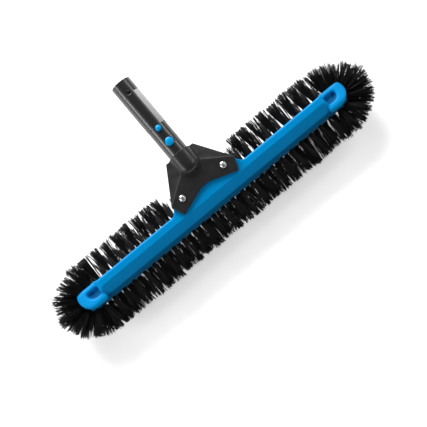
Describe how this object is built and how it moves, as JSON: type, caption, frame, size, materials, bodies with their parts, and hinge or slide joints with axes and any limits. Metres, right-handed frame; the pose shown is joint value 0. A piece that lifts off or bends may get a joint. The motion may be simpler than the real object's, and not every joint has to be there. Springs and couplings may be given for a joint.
{
  "type": "pool wall brush",
  "caption": "Pool wall brush: a bar block with bristle tufts round three sides and both ends, a bolted yoke, and a tubular handle stub with a two-button snap clip for a telescopic pole.",
  "frame": {"origin": "middle of the plane that the bristle tips rest on, under the middle of the block", "axes": "+X along the block to the right end, +Y towards the handle, +Z away from the bristles; the handle rises 14 degrees from +Y"},
  "size_m": [0.509, 0.2354, 0.1244],
  "materials": {
    "block_plastic": "satin moulded blue plastic",
    "bristle": "black nylon filament",
    "anchor_wire": "drawn flat wire",
    "yoke_plastic": "satin moulded black plastic",
    "tube_plastic": "satin moulded black plastic",
    "strip": "light grey satin strip",
    "fastener": "plain stainless steel",
    "clip_plastic": "bright blue gloss plastic"
  },
  "bodies": {
    "brush": {"brush_body": "block_plastic", "tufts_row_1": "bristle", "tufts_row_2": "bristle", "tufts_row_3": "bristle", "tufts_row_4": "bristle", "tufts_row_5": "bristle", "tufts_row_6": "bristle", "tufts_left_rim": "bristle", "tufts_left_slope": "bristle", "tufts_left_under": "bristle", "tufts_right_rim": "bristle", "tufts_right_slope": "bristle", "tufts_right_under": "bristle", "anchors_row_1": "anchor_wire", "anchors_row_2": "anchor_wire", "anchors_row_3": "anchor_wire", "anchors_row_4": "anchor_wire", "anchors_row_5": "anchor_wire", "anchors_row_6": "anchor_wire", "anchors_left_end": "anchor_wire", "anchors_right_end": "anchor_wire", "yoke_bracket": "yoke_plastic", "handle_tube": "tube_plastic", "handle_strip": "strip", "screw_left": "fastener", "screw_right": "fastener", "nut_left": "fastener", "nut_right": "fastener", "clip_bend": "clip_plastic"},
    "front_latch": {"front_latch_arm": "clip_plastic"},
    "rear_latch": {"rear_latch_arm": "clip_plastic"}
  },
  "joints": [
    {"name": "front_latch_press", "type": "hinge", "parent": "brush", "child": "front_latch", "pos_m": [0, 0.14615, 0.11017], "axis": [1, 0, 0], "range_deg": [0, 4.5], "stiffness_Nm_per_rad": 4},
    {"name": "rear_latch_press", "type": "hinge", "parent": "brush", "child": "rear_latch", "pos_m": [0, 0.14999, 0.09474], "axis": [-1, 0, 0], "range_deg": [0, 4.5], "stiffness_Nm_per_rad": 4}
  ]
}
